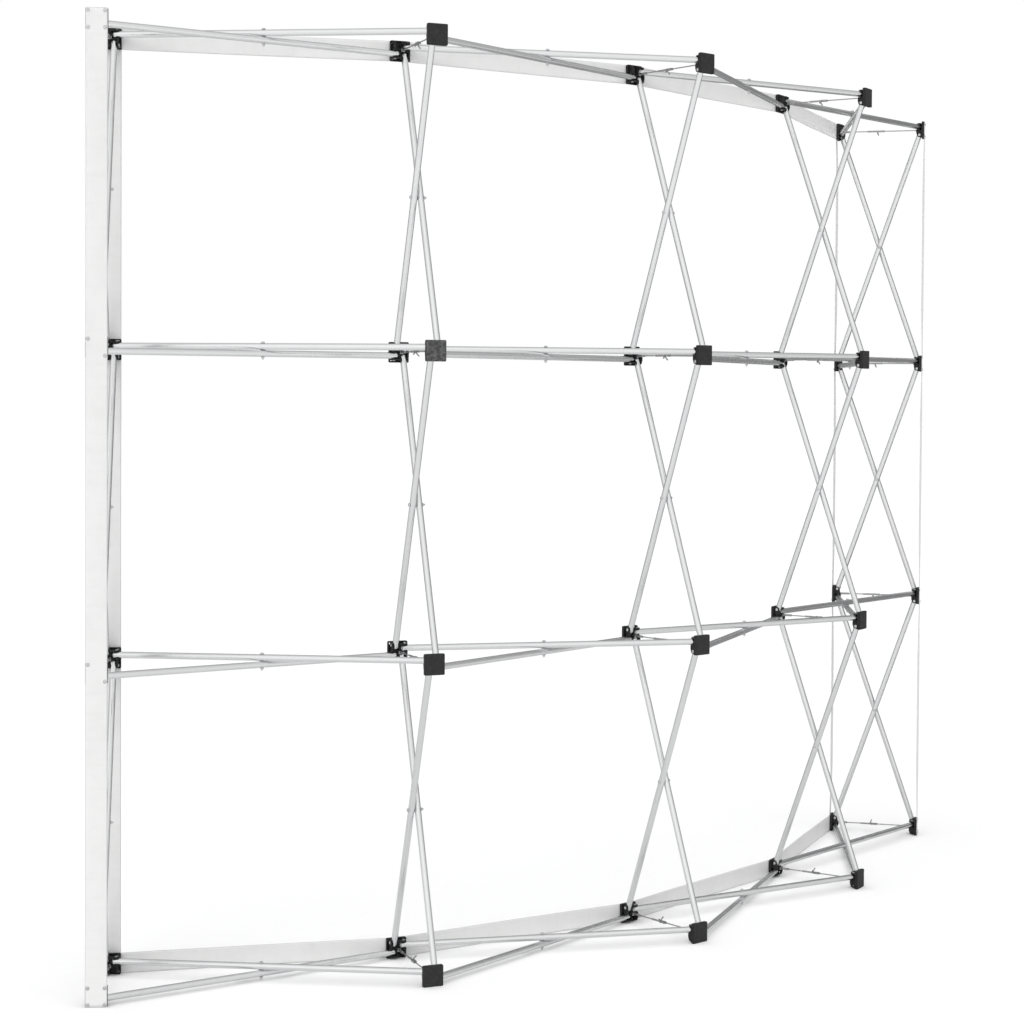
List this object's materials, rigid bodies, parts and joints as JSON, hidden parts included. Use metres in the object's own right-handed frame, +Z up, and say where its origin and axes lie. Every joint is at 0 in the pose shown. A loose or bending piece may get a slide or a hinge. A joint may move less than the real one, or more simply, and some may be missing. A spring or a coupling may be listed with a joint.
{
  "type": "pop-up display frame",
  "caption": "Curved pop-up exhibition frame: two layers of black hubs tied by crossed aluminium tubes, locked open by hooked arms, with white hook strips on its edges",
  "frame": {"origin": "on the floor, at the centre of the part's plan box", "axes": "+X runs along the wall's width, +Y points from the concave front to the convex rear, +Z up"},
  "size_m": [2.945, 0.7076, 2.24],
  "materials": {
    "tube_aluminium": "satin anodised",
    "hub_black": "moulded, fine grain",
    "hook_pad_dark": "hook tape",
    "hook_strip_white": "flexible hook strip",
    "plug_grey": "moulded, satin",
    "pin_steel": "bright zinc"
  },
  "bodies": {
    "frame": {"front_hubs": "hub_black", "rear_hubs": "hub_black", "rear_hook_pads": "hook_pad_dark", "row_tubes_upper": "tube_aluminium", "row_tubes_lower": "tube_aluminium", "column_tubes_rising_front": "tube_aluminium", "column_tubes_rising_rear": "tube_aluminium", "tube_end_plugs": "plug_grey", "hub_pins": "pin_steel", "scissor_rivets": "pin_steel", "scissor_washers": "plug_grey", "top_strip": "hook_strip_white", "bottom_strip": "hook_strip_white", "front_left_strip": "hook_strip_white", "front_right_strip": "hook_strip_white", "rear_left_strip": "hook_strip_white", "rear_right_strip": "hook_strip_white", "strip_rivets": "pin_steel", "lock_arm_pins": "pin_steel"},
    "arm_front_c1_r1": {"lock_arm_front_c1_r1": "pin_steel"},
    "arm_front_c1_r2": {"lock_arm_front_c1_r2": "pin_steel"},
    "arm_front_c1_r3": {"lock_arm_front_c1_r3": "pin_steel"},
    "arm_front_c1_r4": {"lock_arm_front_c1_r4": "pin_steel"},
    "arm_front_c2_r1": {"lock_arm_front_c2_r1": "pin_steel"},
    "arm_front_c2_r2": {"lock_arm_front_c2_r2": "pin_steel"},
    "arm_front_c2_r3": {"lock_arm_front_c2_r3": "pin_steel"},
    "arm_front_c2_r4": {"lock_arm_front_c2_r4": "pin_steel"},
    "arm_front_c3_r1": {"lock_arm_front_c3_r1": "pin_steel"},
    "arm_front_c3_r2": {"lock_arm_front_c3_r2": "pin_steel"},
    "arm_front_c3_r3": {"lock_arm_front_c3_r3": "pin_steel"},
    "arm_front_c3_r4": {"lock_arm_front_c3_r4": "pin_steel"},
    "arm_front_c4_r1": {"lock_arm_front_c4_r1": "pin_steel"},
    "arm_front_c4_r2": {"lock_arm_front_c4_r2": "pin_steel"},
    "arm_front_c4_r3": {"lock_arm_front_c4_r3": "pin_steel"},
    "arm_front_c4_r4": {"lock_arm_front_c4_r4": "pin_steel"},
    "arm_front_c5_r1": {"lock_arm_front_c5_r1": "pin_steel"},
    "arm_front_c5_r2": {"lock_arm_front_c5_r2": "pin_steel"},
    "arm_front_c5_r3": {"lock_arm_front_c5_r3": "pin_steel"},
    "arm_front_c5_r4": {"lock_arm_front_c5_r4": "pin_steel"},
    "arm_rear_c1_r1": {"lock_arm_rear_c1_r1": "pin_steel"},
    "arm_rear_c1_r2": {"lock_arm_rear_c1_r2": "pin_steel"},
    "arm_rear_c1_r3": {"lock_arm_rear_c1_r3": "pin_steel"},
    "arm_rear_c1_r4": {"lock_arm_rear_c1_r4": "pin_steel"},
    "arm_rear_c2_r1": {"lock_arm_rear_c2_r1": "pin_steel"},
    "arm_rear_c2_r2": {"lock_arm_rear_c2_r2": "pin_steel"},
    "arm_rear_c2_r3": {"lock_arm_rear_c2_r3": "pin_steel"},
    "arm_rear_c2_r4": {"lock_arm_rear_c2_r4": "pin_steel"},
    "arm_rear_c3_r1": {"lock_arm_rear_c3_r1": "pin_steel"},
    "arm_rear_c3_r2": {"lock_arm_rear_c3_r2": "pin_steel"},
    "arm_rear_c3_r3": {"lock_arm_rear_c3_r3": "pin_steel"},
    "arm_rear_c3_r4": {"lock_arm_rear_c3_r4": "pin_steel"},
    "arm_rear_c4_r1": {"lock_arm_rear_c4_r1": "pin_steel"},
    "arm_rear_c4_r2": {"lock_arm_rear_c4_r2": "pin_steel"},
    "arm_rear_c4_r3": {"lock_arm_rear_c4_r3": "pin_steel"},
    "arm_rear_c4_r4": {"lock_arm_rear_c4_r4": "pin_steel"},
    "arm_rear_c5_r1": {"lock_arm_rear_c5_r1": "pin_steel"},
    "arm_rear_c5_r2": {"lock_arm_rear_c5_r2": "pin_steel"},
    "arm_rear_c5_r3": {"lock_arm_rear_c5_r3": "pin_steel"},
    "arm_rear_c5_r4": {"lock_arm_rear_c5_r4": "pin_steel"}
  },
  "joints": [
    {"name": "lift_front_c1_r1", "type": "hinge", "parent": "frame", "child": "arm_front_c1_r1", "pos_m": [-1.30502, -0.32124, 0.025], "axis": [0.809, 0.5878, 0], "range_deg": [0, 60]},
    {"name": "lift_front_c1_r2", "type": "hinge", "parent": "frame", "child": "arm_front_c1_r2", "pos_m": [-1.30502, -0.32124, 0.755], "axis": [0.809, 0.5878, 0], "range_deg": [0, 60]},
    {"name": "lift_front_c1_r3", "type": "hinge", "parent": "frame", "child": "arm_front_c1_r3", "pos_m": [-1.30502, -0.32124, 1.485], "axis": [0.809, 0.5878, 0], "range_deg": [0, 60]},
    {"name": "lift_front_c1_r4", "type": "hinge", "parent": "frame", "child": "arm_front_c1_r4", "pos_m": [-1.30502, -0.32124, 2.215], "axis": [0.809, 0.5878, 0], "range_deg": [0, 60]},
    {"name": "lift_front_c2_r1", "type": "hinge", "parent": "frame", "child": "arm_front_c2_r1", "pos_m": [-0.68609, -0.00588, 0.025], "axis": [0.9511, 0.309, 0], "range_deg": [0, 60]},
    {"name": "lift_front_c2_r2", "type": "hinge", "parent": "frame", "child": "arm_front_c2_r2", "pos_m": [-0.68609, -0.00588, 0.755], "axis": [0.9511, 0.309, 0], "range_deg": [0, 60]},
    {"name": "lift_front_c2_r3", "type": "hinge", "parent": "frame", "child": "arm_front_c2_r3", "pos_m": [-0.68609, -0.00588, 1.485], "axis": [0.9511, 0.309, 0], "range_deg": [0, 60]},
    {"name": "lift_front_c2_r4", "type": "hinge", "parent": "frame", "child": "arm_front_c2_r4", "pos_m": [-0.68609, -0.00588, 2.215], "axis": [0.9511, 0.309, 0], "range_deg": [0, 60]},
    {"name": "lift_front_c3_r1", "type": "hinge", "parent": "frame", "child": "arm_front_c3_r1", "pos_m": [0, 0.10279, 0.025], "axis": [1, 0, 0], "range_deg": [0, 60]},
    {"name": "lift_front_c3_r2", "type": "hinge", "parent": "frame", "child": "arm_front_c3_r2", "pos_m": [0, 0.10279, 0.755], "axis": [1, 0, 0], "range_deg": [0, 60]},
    {"name": "lift_front_c3_r3", "type": "hinge", "parent": "frame", "child": "arm_front_c3_r3", "pos_m": [0, 0.10279, 1.485], "axis": [1, 0, 0], "range_deg": [0, 60]},
    {"name": "lift_front_c3_r4", "type": "hinge", "parent": "frame", "child": "arm_front_c3_r4", "pos_m": [0, 0.10279, 2.215], "axis": [1, 0, 0], "range_deg": [0, 60]},
    {"name": "lift_front_c4_r1", "type": "hinge", "parent": "frame", "child": "arm_front_c4_r1", "pos_m": [0.68609, -0.00588, 0.025], "axis": [0.9511, -0.309, 0], "range_deg": [0, 60]},
    {"name": "lift_front_c4_r2", "type": "hinge", "parent": "frame", "child": "arm_front_c4_r2", "pos_m": [0.68609, -0.00588, 0.755], "axis": [0.9511, -0.309, 0], "range_deg": [0, 60]},
    {"name": "lift_front_c4_r3", "type": "hinge", "parent": "frame", "child": "arm_front_c4_r3", "pos_m": [0.68609, -0.00588, 1.485], "axis": [0.9511, -0.309, 0], "range_deg": [0, 60]},
    {"name": "lift_front_c4_r4", "type": "hinge", "parent": "frame", "child": "arm_front_c4_r4", "pos_m": [0.68609, -0.00588, 2.215], "axis": [0.9511, -0.309, 0], "range_deg": [0, 60]},
    {"name": "lift_front_c5_r1", "type": "hinge", "parent": "frame", "child": "arm_front_c5_r1", "pos_m": [1.30502, -0.32124, 0.025], "axis": [0.809, -0.5878, 0], "range_deg": [0, 60]},
    {"name": "lift_front_c5_r2", "type": "hinge", "parent": "frame", "child": "arm_front_c5_r2", "pos_m": [1.30502, -0.32124, 0.755], "axis": [0.809, -0.5878, 0], "range_deg": [0, 60]},
    {"name": "lift_front_c5_r3", "type": "hinge", "parent": "frame", "child": "arm_front_c5_r3", "pos_m": [1.30502, -0.32124, 1.485], "axis": [0.809, -0.5878, 0], "range_deg": [0, 60]},
    {"name": "lift_front_c5_r4", "type": "hinge", "parent": "frame", "child": "arm_front_c5_r4", "pos_m": [1.30502, -0.32124, 2.215], "axis": [0.809, -0.5878, 0], "range_deg": [0, 60]},
    {"name": "lift_rear_c1_r1", "type": "hinge", "parent": "frame", "child": "arm_rear_c1_r1", "pos_m": [-1.44021, -0.13516, 0.025], "axis": [-0.809, -0.5878, 0], "range_deg": [0, 60]},
    {"name": "lift_rear_c1_r2", "type": "hinge", "parent": "frame", "child": "arm_rear_c1_r2", "pos_m": [-1.44021, -0.13516, 0.755], "axis": [-0.809, -0.5878, 0], "range_deg": [0, 60]},
    {"name": "lift_rear_c1_r3", "type": "hinge", "parent": "frame", "child": "arm_rear_c1_r3", "pos_m": [-1.44021, -0.13516, 1.485], "axis": [-0.809, -0.5878, 0], "range_deg": [0, 60]},
    {"name": "lift_rear_c1_r4", "type": "hinge", "parent": "frame", "child": "arm_rear_c1_r4", "pos_m": [-1.44021, -0.13516, 2.215], "axis": [-0.809, -0.5878, 0], "range_deg": [0, 60]},
    {"name": "lift_rear_c2_r1", "type": "hinge", "parent": "frame", "child": "arm_rear_c2_r1", "pos_m": [-0.75717, 0.21287, 0.025], "axis": [-0.9511, -0.309, 0], "range_deg": [0, 60]},
    {"name": "lift_rear_c2_r2", "type": "hinge", "parent": "frame", "child": "arm_rear_c2_r2", "pos_m": [-0.75717, 0.21287, 0.755], "axis": [-0.9511, -0.309, 0], "range_deg": [0, 60]},
    {"name": "lift_rear_c2_r3", "type": "hinge", "parent": "frame", "child": "arm_rear_c2_r3", "pos_m": [-0.75717, 0.21287, 1.485], "axis": [-0.9511, -0.309, 0], "range_deg": [0, 60]},
    {"name": "lift_rear_c2_r4", "type": "hinge", "parent": "frame", "child": "arm_rear_c2_r4", "pos_m": [-0.75717, 0.21287, 2.215], "axis": [-0.9511, -0.309, 0], "range_deg": [0, 60]},
    {"name": "lift_rear_c3_r1", "type": "hinge", "parent": "frame", "child": "arm_rear_c3_r1", "pos_m": [0, 0.33279, 0.025], "axis": [-1, 0, 0], "range_deg": [0, 60]},
    {"name": "lift_rear_c3_r2", "type": "hinge", "parent": "frame", "child": "arm_rear_c3_r2", "pos_m": [0, 0.33279, 0.755], "axis": [-1, 0, 0], "range_deg": [0, 60]},
    {"name": "lift_rear_c3_r3", "type": "hinge", "parent": "frame", "child": "arm_rear_c3_r3", "pos_m": [0, 0.33279, 1.485], "axis": [-1, 0, 0], "range_deg": [0, 60]},
    {"name": "lift_rear_c3_r4", "type": "hinge", "parent": "frame", "child": "arm_rear_c3_r4", "pos_m": [0, 0.33279, 2.215], "axis": [-1, 0, 0], "range_deg": [0, 60]},
    {"name": "lift_rear_c4_r1", "type": "hinge", "parent": "frame", "child": "arm_rear_c4_r1", "pos_m": [0.75717, 0.21287, 0.025], "axis": [-0.9511, 0.309, 0], "range_deg": [0, 60]},
    {"name": "lift_rear_c4_r2", "type": "hinge", "parent": "frame", "child": "arm_rear_c4_r2", "pos_m": [0.75717, 0.21287, 0.755], "axis": [-0.9511, 0.309, 0], "range_deg": [0, 60]},
    {"name": "lift_rear_c4_r3", "type": "hinge", "parent": "frame", "child": "arm_rear_c4_r3", "pos_m": [0.75717, 0.21287, 1.485], "axis": [-0.9511, 0.309, 0], "range_deg": [0, 60]},
    {"name": "lift_rear_c4_r4", "type": "hinge", "parent": "frame", "child": "arm_rear_c4_r4", "pos_m": [0.75717, 0.21287, 2.215], "axis": [-0.9511, 0.309, 0], "range_deg": [0, 60]},
    {"name": "lift_rear_c5_r1", "type": "hinge", "parent": "frame", "child": "arm_rear_c5_r1", "pos_m": [1.44021, -0.13516, 0.025], "axis": [-0.809, 0.5878, 0], "range_deg": [0, 60]},
    {"name": "lift_rear_c5_r2", "type": "hinge", "parent": "frame", "child": "arm_rear_c5_r2", "pos_m": [1.44021, -0.13516, 0.755], "axis": [-0.809, 0.5878, 0], "range_deg": [0, 60]},
    {"name": "lift_rear_c5_r3", "type": "hinge", "parent": "frame", "child": "arm_rear_c5_r3", "pos_m": [1.44021, -0.13516, 1.485], "axis": [-0.809, 0.5878, 0], "range_deg": [0, 60]},
    {"name": "lift_rear_c5_r4", "type": "hinge", "parent": "frame", "child": "arm_rear_c5_r4", "pos_m": [1.44021, -0.13516, 2.215], "axis": [-0.809, 0.5878, 0], "range_deg": [0, 60]}
  ]
}
